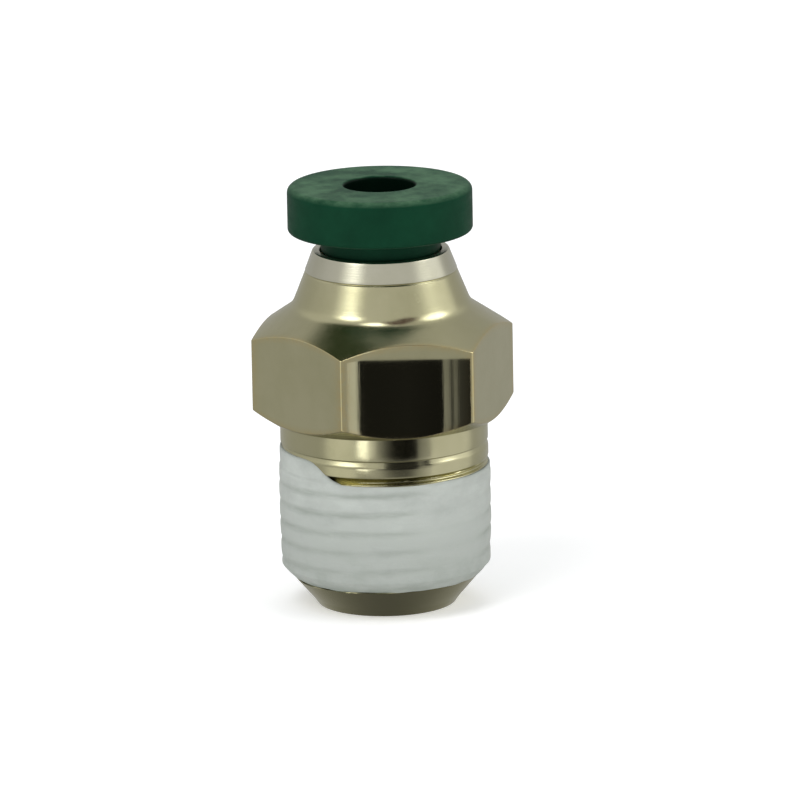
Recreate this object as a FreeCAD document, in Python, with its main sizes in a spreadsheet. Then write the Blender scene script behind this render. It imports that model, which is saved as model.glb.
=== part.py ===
import FreeCAD, Part
import math
import os

import Sketcher
from FreeCAD import Placement, Rotation, Vector

# Push to connect tube fitting, 1/8 inch tube to a 1/8-27 taper pipe thread, in millimetres.
# The origin is the centre of the thread's end face and +Z runs up the axis to the release button.

DRIVING_DIMENSIONS = [
    ("tube_diameter", 3.175, "outside diameter of the tube that the fitting takes"),
    ("socket_clearance", 0.03, "radial clearance of the tube in its socket"),
    ("flow_bore_radius", 1.2, "bore from the thread's end to the tube stop"),
    ("socket_length", 3.0, "length of the tube's socket above its stop"),
    ("nose_height", 0.35, "short steep nose below the lead chamfer"),
    ("nose_step", 0.25, "radius lost over the nose"),
    ("lead_length", 1.65, "length of the lead chamfer along the axis"),
    ("lead_step", 1.35, "radius lost from the thread's end radius to the foot of the lead chamfer"),
    ("thread_pitch", 0.9407, "27 threads to the inch"),
    ("thread_taper", 32.0, "height over which the thread's radius grows by one"),
    ("thread_end_radius", 4.9, "crest radius of the thread's cone at the end face"),
    ("gauge_length", 4.1, "hand tight length, above which the crests stay at one radius"),
    ("crest_flat", 0.1, "width of the thread's crest"),
    ("root_flat", 0.06, "width of the thread's root"),
    ("thread_length", 6.86, "length of the full thread and of the sealant, from the end face"),
    ("thread_start_height", 0.5, "middle of the thread's groove where its cut starts"),
    ("thread_runout", 0.4, "length that the groove runs on above the full thread"),
    ("relief_step", 0.108, "depth of the plain band below the crests"),
    ("relief_length", 1.12, "length of the plain band above the thread"),
    ("collar_step", 0.05, "height of the round collar over the plain band"),
    ("collar_length", 1.17, "length of the round collar below the hexagon"),
    ("hex_across_flats", 11.1125, "7/16 inch wrench size"),
    ("hex_face_inset", 0.116, "from the flats in to the edge of the flat ring on the hexagon's underside"),
    ("hex_chamfer_angle", 34.0, "angle of both chamfers to a plane across the axis"),
    ("hex_edge_length", 3.36, "length of the hexagon's corner edges between the chamfers"),
    ("neck_length", 1.65, "length of the tapered neck along the axis"),
    ("neck_taper", 0.385, "radius lost per height over the neck and the retaining ring"),
    ("neck_fillet", 1.0, "hollow fillet at the foot of the neck"),
    ("neck_wall", 0.437, "wall of the neck at the seam"),
    ("seam_chamfer", 0.06, "each side of the small groove at the seam"),
    ("ring_cap_height", 1.03, "height of the retaining ring above the seam"),
    ("ring_edge_round", 0.08, "rounding of the retaining ring's top edge"),
    ("ring_mouth_depth", 0.98, "depth of the ring's mouth, which takes the button's neck"),
    ("ring_lip_height", 0.35, "height of the inner lip that holds the button in"),
    ("ring_skirt_length", 2.55, "length of the skirt pressed into the body below the seam"),
    ("ring_skirt_wall", 0.4, "wall of the skirt"),
    ("press_clearance", 0.02, "radial clearance of each piece pressed into the body"),
    ("stack_clearance", 0.03, "gap between the seal and the faces on each side of it"),
    ("seal_section", 1.08, "section diameter of the tube's seal"),
    ("seal_end_play", 0.07, "length that the seal's counterbore has over the seal"),
    ("seal_stretch", 0.015, "gap between the seal's inside and the tube"),
    ("washer_height", 1.35, "height of the support washer at its rim"),
    ("tooth_thickness", 0.2, "sheet thickness of the grab ring and its teeth"),
    ("tooth_bite", 0.0875, "how far the tooth tips reach inside the tube's outside at rest"),
    ("tooth_root_step", 0.5, "from the button's nose out to the line about which each tooth bends"),
    ("tooth_rest_angle", 25.0, "slope of a tooth below the grab ring's plane at rest"),
    ("tooth_open_angle", 20.0, "further slope of a tooth when the button is pressed"),
    ("tooth_root_width", 1.1, "width of a tooth at its root"),
    ("tooth_tip_width", 0.72, "width of a tooth at its tip"),
    ("tooth_clearance", 0.03, "gap between a tooth's round root and the ring"),
    ("tooth_swing_gap", 0.14, "height left under an opened tooth"),
    ("button_travel", 0.87, "stroke of the release button"),
    ("button_stop_gap", 0.02, "gap left under the flange at the end of the stroke"),
    ("button_bore_clearance", 0.1125, "radial clearance of the tube in the button"),
    ("button_lead_in", 0.16, "chamfer at the mouth of the button's bore"),
    ("button_flange_radius", 4.42, "outer radius of the button's flange"),
    ("button_flange_thickness", 2.24, "thickness of the button's flange"),
    ("button_flange_round", 0.26, "rounding of the flange's edges"),
    ("button_neck_step", 0.3, "from the stem out to the neck, seen between the flange and the ring"),
    ("button_stem_wall", 0.86, "wall of the button's stem"),
    ("button_nose_wall", 0.35, "wall of the button's nose, which opens the teeth"),
    ("button_fit_clearance", 0.06, "radial clearance of the button in the ring"),
    ("bead_height", 0.18, "radial height of the snap bead on the stem"),
    ("bead_length", 0.5, "length of the snap bead"),
    ("bead_gap", 0.05, "gap between the snap bead and the lip at rest"),
    ("nose_tooth_gap", 0.03, "gap between the nose and the opened teeth"),
    ("sealant_skin", 0.02, "thickness of the sealant over the thread's crests"),
    ("sealant_foot_step", 0.45, "from the thread's end radius in to the sealant's start on the lead chamfer"),
]

TOOTH_COUNT = 10

# Radii and heights that follow from the driving dimensions, as expressions on the sheet. Outside, the
# heights add up from the end face to the seam; inside, the stack hangs down from the seam.
TUBE_RADIUS = "(dims.tube_diameter / 2)"
SOCKET_RADIUS = f"({TUBE_RADIUS} + dims.socket_clearance)"

LEAD_FOOT_RADIUS = "(dims.thread_end_radius - dims.lead_step)"
NOSE_RADIUS = f"({LEAD_FOOT_RADIUS} - dims.nose_step)"
LEAD_HEIGHT = "(dims.nose_height + dims.lead_length)"
LEAD_RADIUS = f"(dims.thread_end_radius + {LEAD_HEIGHT} / dims.thread_taper)"
CREST_RADIUS = "(dims.thread_end_radius + dims.gauge_length / dims.thread_taper)"
GROOVE_HALF_WIDTH = "((dims.thread_pitch - dims.crest_flat) / 2)"
GROOVE_DEPTH = f"(({GROOVE_HALF_WIDTH} - dims.root_flat / 2) / tan(30))"
GROOVE_OVERRUN = "(0.3 * dims.crest_flat)"
GROOVE_MOUTH = f"({GROOVE_HALF_WIDTH} + {GROOVE_OVERRUN} * tan(30))"
RELIEF_RADIUS = f"({CREST_RADIUS} - dims.relief_step)"
RELIEF_TOP = "(dims.thread_length + dims.relief_length)"
COLLAR_RADIUS = f"({RELIEF_RADIUS} + dims.collar_step)"

BUTTON_BORE_RADIUS = f"({TUBE_RADIUS} + dims.button_bore_clearance)"
BUTTON_NOSE_RADIUS = f"({BUTTON_BORE_RADIUS} + dims.button_nose_wall)"
STEM_RADIUS = f"({BUTTON_BORE_RADIUS} + dims.button_stem_wall)"
BUTTON_NECK_RADIUS = f"({STEM_RADIUS} + dims.button_neck_step)"
MOUTH_RADIUS = f"({BUTTON_NECK_RADIUS} + dims.button_fit_clearance)"
LIP_RADIUS = f"({STEM_RADIUS} + dims.button_fit_clearance)"
BEAD_RADIUS = f"({STEM_RADIUS} + dims.bead_height)"
SKIRT_BORE_RADIUS = f"({BEAD_RADIUS} + dims.button_fit_clearance)"
SKIRT_RADIUS = f"({SKIRT_BORE_RADIUS} + dims.ring_skirt_wall)"
CAVITY_RADIUS = f"({SKIRT_RADIUS} + dims.press_clearance)"
SEAM_RADIUS = f"({CAVITY_RADIUS} + dims.neck_wall)"
RING_TOP_RADIUS = f"({SEAM_RADIUS} - dims.neck_taper * dims.ring_cap_height)"

HEX_BOTTOM = f"({RELIEF_TOP} + dims.collar_length)"
HEX_CORNER_RADIUS = "(dims.hex_across_flats / 2 / cos(30))"
HEX_FACE_RADIUS = (
    f"max(dims.hex_across_flats / 2 - dims.hex_face_inset; {COLLAR_RADIUS} + dims.collar_step)"
)
HEX_CORNER_BOTTOM = (
    f"({HEX_BOTTOM} + ({HEX_CORNER_RADIUS} - {HEX_FACE_RADIUS}) * tan(dims.hex_chamfer_angle))"
)
HEX_CORNER_TOP = f"({HEX_CORNER_BOTTOM} + dims.hex_edge_length)"
NECK_BASE_RADIUS = f"({SEAM_RADIUS} + dims.neck_taper * dims.neck_length)"
NECK_BASE_HEIGHT = (
    f"({HEX_CORNER_TOP} + ({HEX_CORNER_RADIUS} - {NECK_BASE_RADIUS}) * tan(dims.hex_chamfer_angle))"
)
SEAM_HEIGHT = f"({NECK_BASE_HEIGHT} + dims.neck_length)"
RING_TOP = f"({SEAM_HEIGHT} + dims.ring_cap_height)"

GRAB_TOP = f"({SEAM_HEIGHT} - dims.ring_skirt_length)"
WASHER_TOP = f"({GRAB_TOP} - dims.tooth_thickness)"
WASHER_BOTTOM = f"({WASHER_TOP} - dims.washer_height)"
SOCKET_TOP = f"({WASHER_BOTTOM} - dims.seal_section - dims.seal_end_play)"
TUBE_STOP = f"({SOCKET_TOP} - dims.socket_length)"

SEAL_INNER_RADIUS = f"({TUBE_RADIUS} + dims.seal_stretch)"
SEAL_CENTRE_RADIUS = f"({SEAL_INNER_RADIUS} + dims.seal_section / 2)"
SEAL_CENTRE_HEIGHT = f"(({SOCKET_TOP} + {WASHER_BOTTOM}) / 2)"
SEAL_BORE_RADIUS = f"({SEAL_CENTRE_RADIUS} + dims.seal_section / 2 + dims.stack_clearance)"

HINGE_HEIGHT = f"({WASHER_TOP} + dims.tooth_thickness / 2)"
HINGE_RADIUS = f"({BUTTON_NOSE_RADIUS} + dims.tooth_root_step)"
OPEN_ANGLE = "(dims.tooth_rest_angle + dims.tooth_open_angle)"
TOOTH_LENGTH = f"(({HINGE_RADIUS} - {TUBE_RADIUS} + dims.tooth_bite) / cos(dims.tooth_rest_angle))"
GRAB_INNER_RADIUS = (
    f"(sqrt(({HINGE_RADIUS} + dims.tooth_thickness / 2) ^ 2 + (dims.tooth_root_width / 2) ^ 2)"
    " + dims.tooth_clearance)"
)
WASHER_BORE_RADIUS = f"({SOCKET_RADIUS} + dims.socket_clearance)"
WASHER_LAND_RADIUS = (
    f"({HINGE_RADIUS} - {TOOTH_LENGTH} * cos({OPEN_ANGLE}) + dims.tooth_thickness / 2 * sin({OPEN_ANGLE}))"
)
WASHER_LAND = (
    f"({HINGE_HEIGHT} - {TOOTH_LENGTH} * sin({OPEN_ANGLE}) - dims.tooth_thickness / 2 * cos({OPEN_ANGLE})"
    " - dims.tooth_swing_gap)"
)
WASHER_CONE_TOP_RADIUS = f"({WASHER_LAND_RADIUS} + ({WASHER_TOP} - {WASHER_LAND}) / tan({OPEN_ANGLE}))"

MOUTH_BOTTOM = f"({RING_TOP} - dims.ring_mouth_depth)"
LIP_BOTTOM = f"({MOUTH_BOTTOM} - dims.ring_lip_height)"
FLANGE_BOTTOM = f"({RING_TOP} + dims.button_travel + dims.button_stop_gap)"
FLANGE_TOP = f"({FLANGE_BOTTOM} + dims.button_flange_thickness)"
BUTTON_NECK_BOTTOM = f"({RING_TOP} - dims.stack_clearance)"
BEAD_TOP = f"({LIP_BOTTOM} - dims.bead_gap)"
BEAD_BOTTOM = f"({BEAD_TOP} - dims.bead_length)"
STEM_BOTTOM = f"({GRAB_TOP} + dims.button_travel + 4 * dims.stack_clearance)"

SEALANT_FOOT_RADIUS = "(dims.thread_end_radius - dims.sealant_foot_step)"


def nose_height(radius):
    """Height of the nose at a radius: on the opened teeth's upper faces when the button is down."""
    opened = f"({HINGE_RADIUS} - {radius}) * tan({OPEN_ANGLE})"
    lift = f"(dims.tooth_thickness / 2 + dims.nose_tooth_gap) / cos({OPEN_ANGLE})"
    return f"({HINGE_HEIGHT} - {opened} + {lift} + dims.button_travel)"


def lead_height(radius):
    """Height on the lead chamfer at a radius."""
    share = f"({radius} - {LEAD_FOOT_RADIUS}) / ({LEAD_RADIUS} - {LEAD_FOOT_RADIUS})"
    return f"(dims.nose_height + dims.lead_length * {share})"


document = FreeCAD.newDocument("push_to_connect_fitting")
dims = document.addObject("Spreadsheet::Sheet", "dims")
for row, (alias, size, note) in enumerate(DRIVING_DIMENSIONS, start=1):
    dims.set(f"A{row}", note)
    dims.set(f"B{row}", str(size))
    dims.setAlias(f"B{row}", alias)
document.recompute()


def value(expression):
    """The number that an expression on the sheet gives."""
    result = dims.evalExpression(expression)
    return float(getattr(result, "Value", result))


def new_body(name):
    body = document.addObject("PartDesign::Body", name)
    body.Label = name
    return body


def origin_part(body, role):
    return next(item for item in body.Origin.OriginFeatures if item.Role == role)


def outline(body, name, points, plane="XZ_Plane"):
    """A sketch on one of the body's origin planes that holds one closed outline."""
    sketch = body.newObject("Sketcher::SketchObject", name)
    sketch.AttachmentSupport = [(origin_part(body, plane), "")]
    sketch.MapMode = "FlatFace"
    draw_outline(sketch, points)
    return sketch


def draw_outline(sketch, points):
    """A closed outline of straight lines; each point is a pair of expressions, such as radius and height."""
    corners = [Vector(value(across), value(along), 0) for across, along in points]
    count = len(corners)
    for index, corner in enumerate(corners):
        sketch.addGeometry(Part.LineSegment(corner, corners[(index + 1) % count]))
    for index in range(count):
        sketch.addConstraint(Sketcher.Constraint("Coincident", index, 2, (index + 1) % count, 1))
    for index, pair in enumerate(points):
        for kind, text in zip(("DistanceX", "DistanceY"), pair):
            fixed = Sketcher.Constraint(kind, -1, 1, index, 1, value(text))
            sketch.setExpression(f"Constraints[{sketch.addConstraint(fixed)}]", text)


def turn(body, name, points, kind="PartDesign::Revolution"):
    """Adds, or with a groove takes away, an outline turned about the axis."""
    sketch = outline(body, name + "_outline", points)
    feature = body.newObject(kind, name)
    feature.Profile = sketch
    feature.ReferenceAxis = (origin_part(body, "Z_Axis"), [""])
    feature.Angle = 360
    document.recompute()
    return feature


def bore(body, name, points):
    before = body.Shape.Volume
    turn(body, name, points, kind="PartDesign::Groove")
    if not body.Shape.Volume < before:
        raise RuntimeError(f"{name} cut nothing from {body.Label}")


def round_edges(body, name, rings, radius):
    """Rounds the circular edges that lie at the given (radius, height) pairs of expressions."""
    found = []
    for ring_radius, height in rings:
        for number, edge in enumerate(body.Shape.Edges, start=1):
            curve = edge.Curve
            if not isinstance(curve, Part.Circle):
                continue
            if abs(curve.Radius - value(ring_radius)) < 1e-4 and abs(curve.Center.z - value(height)) < 1e-4:
                found.append(f"Edge{number}")
    if len(found) < len(rings):
        raise RuntimeError(f"{name} lacks an edge")
    base = body.Tip
    feature = body.newObject("PartDesign::Fillet", name)
    feature.Base = (base, found)
    feature.setExpression("Radius", radius)
    document.recompute()


def make_body():
    """The brass body: thread, collar, hexagon and neck outside, a stepped bore inside."""
    body = new_body("body_blank")
    turn(body, "turned_blank", [
        ("dims.flow_bore_radius", "0"),
        (NOSE_RADIUS, "0"),
        (LEAD_FOOT_RADIUS, "dims.nose_height"),
        (LEAD_RADIUS, LEAD_HEIGHT),
        (CREST_RADIUS, "dims.gauge_length"),
        (CREST_RADIUS, "dims.thread_length"),
        (RELIEF_RADIUS, f"dims.thread_length + {CREST_RADIUS} - {RELIEF_RADIUS}"),
        (RELIEF_RADIUS, RELIEF_TOP),
        (COLLAR_RADIUS, RELIEF_TOP),
        (COLLAR_RADIUS, HEX_BOTTOM),
        (HEX_FACE_RADIUS, HEX_BOTTOM),
        (HEX_CORNER_RADIUS, HEX_CORNER_BOTTOM),
        (HEX_CORNER_RADIUS, HEX_CORNER_TOP),
        (NECK_BASE_RADIUS, NECK_BASE_HEIGHT),
        (f"{SEAM_RADIUS} + dims.neck_taper * dims.seam_chamfer", f"{SEAM_HEIGHT} - dims.seam_chamfer"),
        (f"{SEAM_RADIUS} - dims.seam_chamfer", SEAM_HEIGHT),
        ("dims.flow_bore_radius", SEAM_HEIGHT),
    ])
    round_edges(body, "neck_fillet", [(NECK_BASE_RADIUS, NECK_BASE_HEIGHT)], "dims.neck_fillet")
    cut_hexagon(body)
    bore(body, "stepped_bore", [
        ("dims.flow_bore_radius / 2", TUBE_STOP),
        (SOCKET_RADIUS, TUBE_STOP),
        (SOCKET_RADIUS, SOCKET_TOP),
        (SEAL_BORE_RADIUS, SOCKET_TOP),
        (SEAL_BORE_RADIUS, WASHER_BOTTOM),
        (CAVITY_RADIUS, WASHER_BOTTOM),
        (CAVITY_RADIUS, SEAM_HEIGHT),
        ("dims.flow_bore_radius / 2", SEAM_HEIGHT),
    ])
    return cut_thread(body)


def cut_hexagon(body):
    """Mills the six flats: the middle of one flat faces -Y."""
    sketch = body.newObject("Sketcher::SketchObject", "hexagon_outline")
    sketch.AttachmentSupport = [(origin_part(body, "XY_Plane"), "")]
    sketch.MapMode = "FlatFace"
    sketch.setExpression(".AttachmentOffset.Base.z", HEX_BOTTOM)
    corner = value(HEX_CORNER_RADIUS)
    corners = [Vector(corner * math.cos(math.radians(60 * k)), corner * math.sin(math.radians(60 * k)), 0)
               for k in range(6)]
    for index, place in enumerate(corners):
        sketch.addGeometry(Part.LineSegment(place, corners[(index + 1) % 6]))
    for index, place in enumerate(corners):
        sketch.addConstraint(Sketcher.Constraint("Coincident", index, 2, (index + 1) % 6, 1))
        for kind, size, ratio in (("DistanceX", place.x, f"cos({60 * index})"),
                                  ("DistanceY", place.y, f"sin({60 * index})")):
            fixed = Sketcher.Constraint(kind, -1, 1, index, 1, size)
            number = sketch.addConstraint(fixed)
            sketch.setExpression(f"Constraints[{number}]", f"{HEX_CORNER_RADIUS} * {ratio}")
    outside = sketch.addGeometry(Part.Circle(Vector(), Vector(0, 0, 1), 1.2 * corner))
    sketch.addConstraint(Sketcher.Constraint("Coincident", outside, 3, -1, 1))
    number = sketch.addConstraint(Sketcher.Constraint("Radius", outside, 1.2 * corner))
    sketch.setExpression(f"Constraints[{number}]", f"1.2 * {HEX_CORNER_RADIUS}")
    before = body.Shape.Volume
    flats = body.newObject("PartDesign::Pocket", "hexagon_flats")
    flats.Profile = sketch
    flats.Reversed = True
    flats.setExpression("Length", f"{NECK_BASE_HEIGHT} - {HEX_BOTTOM}")
    document.recompute()
    if not body.Shape.Volume < before:
        raise RuntimeError("the hexagon cut nothing")


def cut_thread(blank):
    """Cuts the taper pipe thread: a 60 degree groove along a conical helix."""
    start_radius = "(dims.thread_end_radius + dims.thread_start_height / dims.thread_taper)"
    helix = document.addObject("Part::Helix", "thread_helix")
    helix.LocalCoord = "Right-handed"
    helix.SegmentLength = 1
    helix.setExpression("Pitch", "dims.thread_pitch")
    helix.setExpression("Height", "dims.thread_length + dims.thread_runout - dims.thread_start_height")
    helix.setExpression("Radius", start_radius)
    helix.setExpression("Angle", "atan(1 / dims.thread_taper)")
    helix.setExpression(".Placement.Base.z", "dims.thread_start_height")
    mouth = f"({start_radius} + {GROOVE_OVERRUN})"
    root = f"({start_radius} - {GROOVE_DEPTH})"
    section = document.addObject("Sketcher::SketchObject", "thread_groove_outline")
    section.Placement = Placement(Vector(), Rotation(Vector(1, 0, 0), 90))
    draw_outline(section, [
        (root, "dims.thread_start_height - dims.root_flat / 2"),
        (mouth, f"dims.thread_start_height - {GROOVE_MOUTH}"),
        (mouth, f"dims.thread_start_height + {GROOVE_MOUTH}"),
        (root, "dims.thread_start_height + dims.root_flat / 2"),
    ])
    groove = document.addObject("Part::Sweep", "thread_groove")
    groove.Sections = [section]
    groove.Spine = (helix, [])
    groove.Solid = True
    groove.Frenet = True
    document.recompute()
    threaded = document.addObject("Part::Cut", "body")
    threaded.Base = blank
    threaded.Tool = groove
    document.recompute()
    if not threaded.Shape.Volume < blank.Shape.Volume:
        raise RuntimeError("the thread's groove cut nothing")
    return threaded


def make_thread_sealant(body):
    """Pre-applied sealant: it fills the thread's groove and covers the crests with a thin skin."""
    sleeve = new_body("sealant_sleeve")
    inside = f"(dims.thread_end_radius - {GROOVE_DEPTH} - dims.sealant_skin)"
    foot = lead_height(SEALANT_FOOT_RADIUS)
    turn(sleeve, "sealant_envelope", [
        (inside, foot),
        (f"{SEALANT_FOOT_RADIUS} + dims.sealant_skin", foot),
        (f"{LEAD_RADIUS} + dims.sealant_skin", LEAD_HEIGHT),
        (f"{CREST_RADIUS} + dims.sealant_skin", "dims.gauge_length"),
        (f"{CREST_RADIUS} + dims.sealant_skin", "dims.thread_length"),
        (inside, "dims.thread_length"),
    ])
    sealant = document.addObject("Part::Cut", "thread_sealant")
    sealant.Base = sleeve
    sealant.Tool = body
    return sealant


def make_tube_seal():
    """The O-ring, at the size it takes round the tube."""
    seal = new_body("tube_seal")
    sketch = seal.newObject("Sketcher::SketchObject", "seal_section_outline")
    sketch.AttachmentSupport = [(origin_part(seal, "XZ_Plane"), "")]
    sketch.MapMode = "FlatFace"
    centre = Vector(value(SEAL_CENTRE_RADIUS), value(SEAL_CENTRE_HEIGHT), 0)
    sketch.addGeometry(Part.Circle(centre, Vector(0, 0, 1), value("dims.seal_section") / 2))
    for kind, where, text in (
        ("DistanceX", (-1, 1, 0, 3), SEAL_CENTRE_RADIUS),
        ("DistanceY", (-1, 1, 0, 3), SEAL_CENTRE_HEIGHT),
        ("Diameter", (0,), "dims.seal_section"),
    ):
        number = sketch.addConstraint(Sketcher.Constraint(kind, *where, value(text)))
        sketch.setExpression(f"Constraints[{number}]", text)
    ring = seal.newObject("PartDesign::Revolution", "seal_ring")
    ring.Profile = sketch
    ring.ReferenceAxis = (origin_part(seal, "Z_Axis"), [""])
    ring.Angle = 360
    return seal


def make_support_washer():
    """The washer under the grab ring, hollowed to a cone where the teeth swing down."""
    washer = new_body("support_washer")
    turn(washer, "washer_ring", [
        (WASHER_BORE_RADIUS, WASHER_BOTTOM),
        (SKIRT_RADIUS, WASHER_BOTTOM),
        (SKIRT_RADIUS, WASHER_TOP),
        (WASHER_CONE_TOP_RADIUS, WASHER_TOP),
        (WASHER_LAND_RADIUS, WASHER_LAND),
        (WASHER_BORE_RADIUS, WASHER_LAND),
    ])
    return washer


def make_grab_ring():
    """The rim of the stainless grab ring, held between the washer and the ring's skirt."""
    rim = new_body("grab_ring")
    turn(rim, "grab_rim", [
        (GRAB_INNER_RADIUS, WASHER_TOP),
        (SKIRT_RADIUS, WASHER_TOP),
        (SKIRT_RADIUS, GRAB_TOP),
        (GRAB_INNER_RADIUS, GRAB_TOP),
    ])
    return rim


def make_grab_tooth(number):
    """One springy tooth: a tapered leaf with a round root on the line about which it bends."""
    tooth = new_body(f"grab_tooth_{number:02d}")
    leaf_outline = outline(tooth, f"leaf_outline_{number:02d}", [
        ("0", "-dims.tooth_root_width / 2"),
        ("0", "dims.tooth_root_width / 2"),
        (f"-{TOOTH_LENGTH}", "dims.tooth_tip_width / 2"),
        (f"-{TOOTH_LENGTH}", "-dims.tooth_tip_width / 2"),
    ], plane="XY_Plane")
    leaf = tooth.newObject("PartDesign::Pad", f"leaf_{number:02d}")
    leaf.Profile = leaf_outline
    leaf.Midplane = True
    leaf.setExpression("Length", "dims.tooth_thickness")
    root_outline = tooth.newObject("Sketcher::SketchObject", f"root_outline_{number:02d}")
    root_outline.AttachmentSupport = [(origin_part(tooth, "XZ_Plane"), "")]
    root_outline.MapMode = "FlatFace"
    root_outline.addGeometry(Part.Circle(Vector(), Vector(0, 0, 1), value("dims.tooth_thickness") / 2))
    root_outline.addConstraint(Sketcher.Constraint("Coincident", 0, 3, -1, 1))
    size = root_outline.addConstraint(Sketcher.Constraint("Diameter", 0, value("dims.tooth_thickness")))
    root_outline.setExpression(f"Constraints[{size}]", "dims.tooth_thickness")
    root = tooth.newObject("PartDesign::Pad", f"root_{number:02d}")
    root.Profile = root_outline
    root.Midplane = True
    root.setExpression("Length", "dims.tooth_root_width")
    turned = Rotation(Vector(0, 0, 1), 360 * (number - 1) / TOOTH_COUNT)
    tipped = Rotation(Vector(0, 1, 0), -value("dims.tooth_rest_angle"))
    hinge = turned.multVec(Vector(value(HINGE_RADIUS), 0, value(HINGE_HEIGHT)))
    tooth.Placement = Placement(hinge, turned * tipped)
    return tooth


def make_retaining_ring():
    """The plated ring pressed into the neck: its skirt clamps the stack, its lip holds the button."""
    ring = new_body("retaining_ring")
    turn(ring, "ring_blank", [
        (MOUTH_RADIUS, RING_TOP),
        (RING_TOP_RADIUS, RING_TOP),
        (f"{SEAM_RADIUS} - dims.neck_taper * dims.seam_chamfer", f"{SEAM_HEIGHT} + dims.seam_chamfer"),
        (f"{SEAM_RADIUS} - dims.seam_chamfer", SEAM_HEIGHT),
        (SKIRT_RADIUS, SEAM_HEIGHT),
        (SKIRT_RADIUS, GRAB_TOP),
        (SKIRT_BORE_RADIUS, GRAB_TOP),
        (SKIRT_BORE_RADIUS, LIP_BOTTOM),
        (LIP_RADIUS, LIP_BOTTOM),
        (LIP_RADIUS, MOUTH_BOTTOM),
        (MOUTH_RADIUS, MOUTH_BOTTOM),
    ])
    round_edges(ring, "ring_edge", [(RING_TOP_RADIUS, RING_TOP)], "dims.ring_edge_round")
    return ring


def make_release_button():
    """The acetal button: a flange to press, a stem with a snap bead, a nose that opens the teeth."""
    button = new_body("release_button")
    turn(button, "button_blank", [
        (BUTTON_BORE_RADIUS, nose_height(BUTTON_BORE_RADIUS)),
        (BUTTON_NOSE_RADIUS, nose_height(BUTTON_NOSE_RADIUS)),
        (BUTTON_NOSE_RADIUS, STEM_BOTTOM),
        (STEM_RADIUS, STEM_BOTTOM),
        (STEM_RADIUS, BEAD_BOTTOM),
        (BEAD_RADIUS, BEAD_TOP),
        (STEM_RADIUS, BEAD_TOP),
        (STEM_RADIUS, BUTTON_NECK_BOTTOM),
        (BUTTON_NECK_RADIUS, BUTTON_NECK_BOTTOM),
        (BUTTON_NECK_RADIUS, FLANGE_BOTTOM),
        ("dims.button_flange_radius", FLANGE_BOTTOM),
        ("dims.button_flange_radius", FLANGE_TOP),
        (f"{BUTTON_BORE_RADIUS} + dims.button_lead_in", FLANGE_TOP),
        (BUTTON_BORE_RADIUS, f"{FLANGE_TOP} - dims.button_lead_in"),
    ])
    rims = [("dims.button_flange_radius", FLANGE_BOTTOM), ("dims.button_flange_radius", FLANGE_TOP)]
    round_edges(button, "flange_rounds", rims, "dims.button_flange_round")
    return button


def check_document():
    for item in document.Objects:
        if "Invalid" in item.State or "Error" in item.State:
            raise RuntimeError(f"{item.Name} failed: {item.getStatusString()}")


def main():
    body = make_body()
    parts = [
        body,
        make_thread_sealant(body),
        make_tube_seal(),
        make_support_washer(),
        make_grab_ring(),
        *(make_grab_tooth(number) for number in range(1, TOOTH_COUNT + 1)),
        make_retaining_ring(),
        make_release_button(),
    ]
    document.recompute()
    check_document()
    for part in parts:
        if part.Shape.isNull() or not part.Shape.isValid() or len(part.Shape.Solids) != 1:
            raise RuntimeError(f"{part.Label} is not one valid solid")
    os.makedirs("parts", exist_ok=True)
    for part in parts:
        part.Shape.exportStep(f"parts/{part.Label}.step")


main()
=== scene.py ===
"""Push to connect tube fitting: finished surfaces, materials and studio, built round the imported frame."""

import math

import bpy
import numpy as np
from bpy.props import FloatProperty, FloatVectorProperty, IntProperty, PointerProperty
from mathutils import Matrix, Vector


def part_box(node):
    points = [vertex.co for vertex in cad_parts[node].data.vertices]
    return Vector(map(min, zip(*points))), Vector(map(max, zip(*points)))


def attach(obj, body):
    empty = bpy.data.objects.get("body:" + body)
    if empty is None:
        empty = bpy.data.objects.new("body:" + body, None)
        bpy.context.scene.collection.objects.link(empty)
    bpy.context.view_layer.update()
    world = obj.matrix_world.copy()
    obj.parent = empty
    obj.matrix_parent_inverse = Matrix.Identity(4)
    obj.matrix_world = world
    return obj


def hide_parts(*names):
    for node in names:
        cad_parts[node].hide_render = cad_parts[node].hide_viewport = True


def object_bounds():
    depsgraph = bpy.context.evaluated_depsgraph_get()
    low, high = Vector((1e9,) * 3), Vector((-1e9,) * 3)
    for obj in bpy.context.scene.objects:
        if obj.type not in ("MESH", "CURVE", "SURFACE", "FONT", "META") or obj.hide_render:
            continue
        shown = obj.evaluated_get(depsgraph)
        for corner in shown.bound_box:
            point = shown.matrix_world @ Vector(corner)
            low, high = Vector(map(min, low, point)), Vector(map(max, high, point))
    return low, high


bl_info = {
    "name": "Push to connect fitting",
    "version": (1, 0, 0),
    "blender": (4, 5, 0),
    "location": "3D View > Sidebar > Fitting",
    "description": "Builds the visible surfaces, finishes and studio of a push to connect tube fitting",
    "category": "Object",
}

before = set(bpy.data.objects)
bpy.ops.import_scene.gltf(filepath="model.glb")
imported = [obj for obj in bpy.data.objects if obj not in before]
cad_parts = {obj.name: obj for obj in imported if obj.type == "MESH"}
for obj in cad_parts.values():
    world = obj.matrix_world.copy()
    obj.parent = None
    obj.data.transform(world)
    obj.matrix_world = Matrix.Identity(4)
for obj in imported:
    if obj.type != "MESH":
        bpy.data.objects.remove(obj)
CAD_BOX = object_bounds()

MM = 0.001
BODY = "fitting_body"
TAPER = 1 / 32  # the pipe thread's rise in radius
BODY_LOW, BODY_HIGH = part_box("body")
SEALANT_LOW, SEALANT_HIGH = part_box("thread_sealant")
RING_LOW, RING_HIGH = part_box("retaining_ring")
BUTTON_LOW, BUTTON_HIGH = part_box("release_button")
INNER_FINISHES = {
    "tube_seal": "nitrile",
    "support_washer": "washer_plastic",
    "grab_ring": "spring_steel",
}
TEETH = sorted(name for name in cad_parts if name.startswith("grab_tooth_"))


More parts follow.
